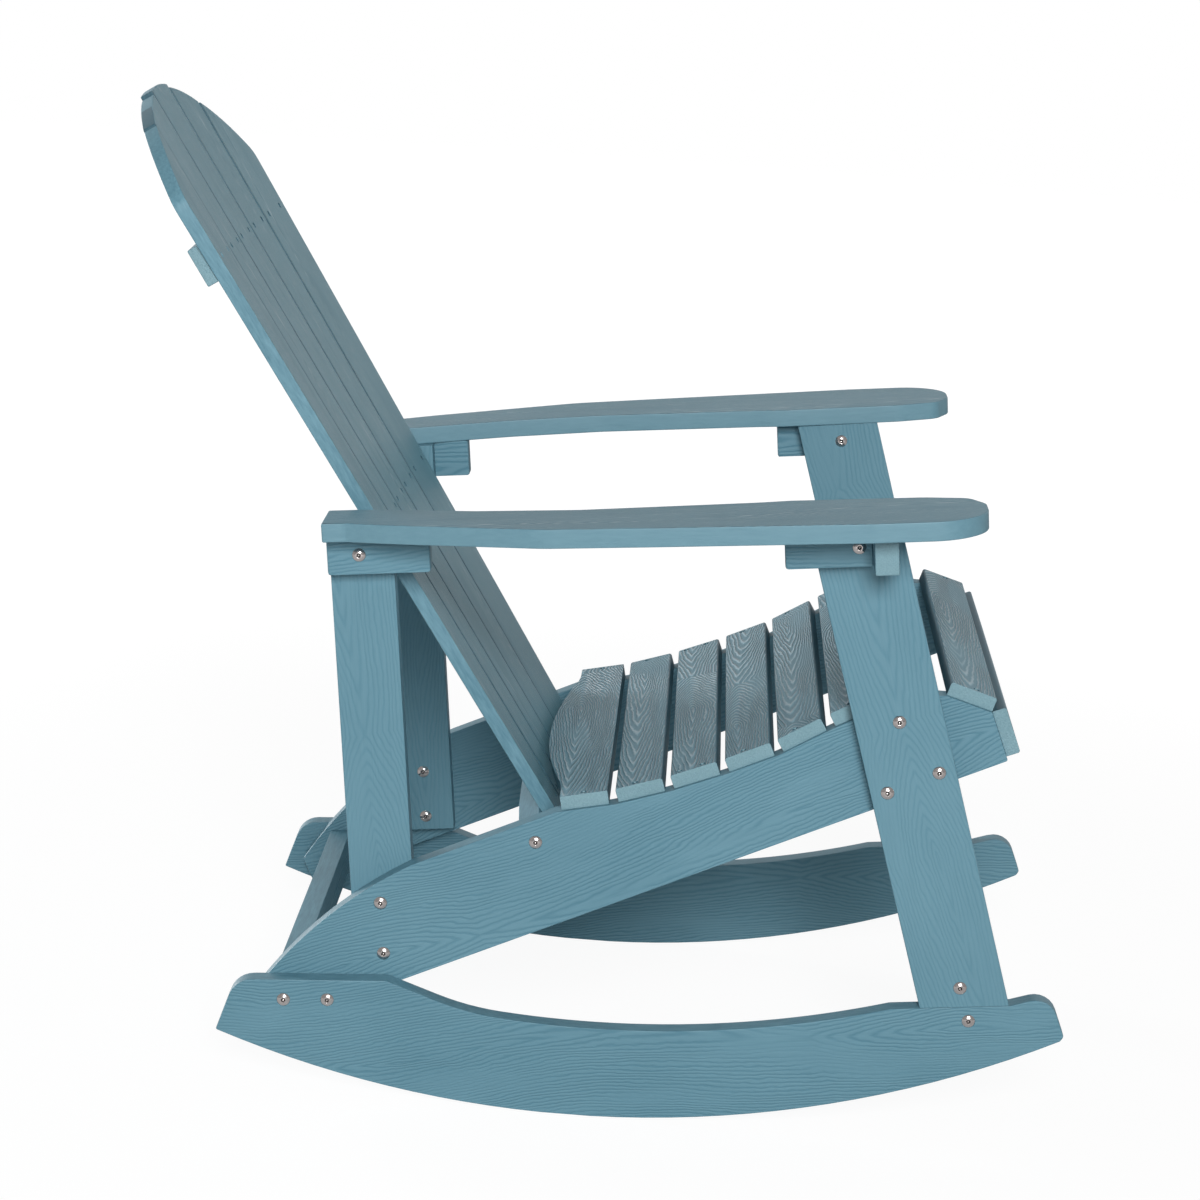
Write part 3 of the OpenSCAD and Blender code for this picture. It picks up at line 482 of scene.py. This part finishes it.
def turned(name, shank, length, rings, drop=0.0):
    """A bolt or screw: a shank that starts at drop below z = 0, and its head ring by ring.
    The last ring's face is left selected for the socket."""
    bpy.ops.object.select_all(action="DESELECT")
    bpy.ops.mesh.primitive_cylinder_add(vertices=36, radius=shank, depth=length - drop,
                                        location=(0, 0, -(length + drop) / 2))
    piece = bpy.context.object
    piece.name = name
    bpy.ops.object.transform_apply(location=True)
    bpy.ops.object.mode_set(mode="EDIT")
    bpy.ops.mesh.select_mode(type="FACE")
    shape = bmesh.from_edit_mesh(piece.data)
    for face in shape.faces:
        face.select_set(face.normal.z > 0.9)
    bmesh.update_edit_mesh(piece.data)
    radius, height = shank, -drop
    for wide, high in rings:
        bpy.ops.mesh.extrude_region_move(TRANSFORM_OT_translate={"value": (0, 0, high - height)})
        bpy.ops.transform.resize(value=(wide / radius, wide / radius, 1), center_override=(0, 0, 0))
        radius, height = wide, high
    return piece


# The point that the drill leaves under a socket, as shares of its width and its depth
drilled = ((0.85, 0.12), (0.4, 0.3), (0.12, 0.1))


def socket(piece, flat, depth):
    """Makes the selected end face six-sided and sinks it."""
    shape = bmesh.from_edit_mesh(piece.data)
    for vert in shape.verts:
        if vert.select:
            angle = math.atan2(vert.co.y, vert.co.x) % (math.pi / 3) - math.pi / 6
            vert.co.xy = vert.co.xy.normalized() * (flat / math.cos(angle))
    bmesh.update_edit_mesh(piece.data)
    bpy.ops.mesh.extrude_region_move(TRANSFORM_OT_translate={"value": (0, 0, -depth)})
    for share, sink in drilled:
        bpy.ops.mesh.extrude_region_move(TRANSFORM_OT_translate={"value": (0, 0, -depth * sink)})
        bpy.ops.transform.resize(value=(share, share, 1), center_override=(0, 0, 0))
    bpy.ops.mesh.select_all(action="SELECT")
    bpy.ops.mesh.normals_make_consistent(inside=False)
    bpy.ops.object.mode_set(mode="OBJECT")
    bpy.ops.object.shade_smooth_by_angle(angle=math.radians(32))
    made = piece.data.attributes.new("turned", "FLOAT_VECTOR", "POINT")
    for vertex, item in zip(piece.data.vertices, made.data):
        item.vector = (vertex.co.xy.length, vertex.co.z, 0)


def fitted(pattern, name, rise, material):
    """One copy of the pattern at each head of the node, joined to a single piece. Each is
    turned a little farther than the last, and its z = 0 lies at rise below the head's tip."""
    each_turn = 0.9
    bpy.ops.object.select_all(action="DESELECT")
    for number, (tip, way) in enumerate(heads(name)):
        copy = bpy.data.objects.new(name + "_turned", pattern.data.copy())
        facing = way.to_track_quat("Z", "Y").to_matrix().to_4x4()
        spin = Matrix.Rotation(each_turn * number, 4, "Z")
        copy.data.transform(Matrix.Translation(tip - way * rise) @ facing @ spin)
        scene.collection.objects.link(copy)
        copy.select_set(True)
        bpy.context.view_layer.objects.active = copy
    bpy.ops.object.join()
    piece = bpy.context.object
    piece.data.materials.clear()
    piece.data.materials.append(material)
    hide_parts(name)
    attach(piece, "root")


head_height = 0.0032
dome = ((0.0067, 0.0), (0.0067, 0.0003), (0.00642, 0.00074), (0.0058, 0.00126), (0.0050, 0.00174),
        (0.0041, 0.0022), (0.0031, 0.0026), (0.0027, 0.00266), (0.0024, 0.0025))
for name, shank, length in (("frame_bolts", 0.0030, 0.0357), ("sleeve_nuts", 0.0042, 0.0378),
                            ("support_bolts", 0.0030, 0.060)):
    pattern = turned("turned_bolt", shank, length, dome)
    socket(pattern, flat=0.0020, depth=0.0017)
    fitted(pattern, name, head_height, stainless)
    bpy.data.objects.remove(pattern)

screw_shank = 0.0017
screw_cone = 0.0035
sunk = ((0.0026, -0.0015), (0.0026, -0.0012), (0.0014, -0.00115))
for name, length in (("seat_screws", 0.031), ("apron_screws", 0.031), ("back_screws", 0.020),
                     ("arm_screws", 0.049)):
    pattern = turned("turned_screw", screw_shank, length, sunk, drop=screw_cone)
    socket(pattern, flat=0.0012, depth=0.0009)
    fitted(pattern, name, 0.0, screw_steel)
    bpy.data.objects.remove(pattern)

# The barrel nuts lie inside the boards and keep their CAD shape
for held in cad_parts["barrel_nuts"].material_slots:
    held.material = screw_steel
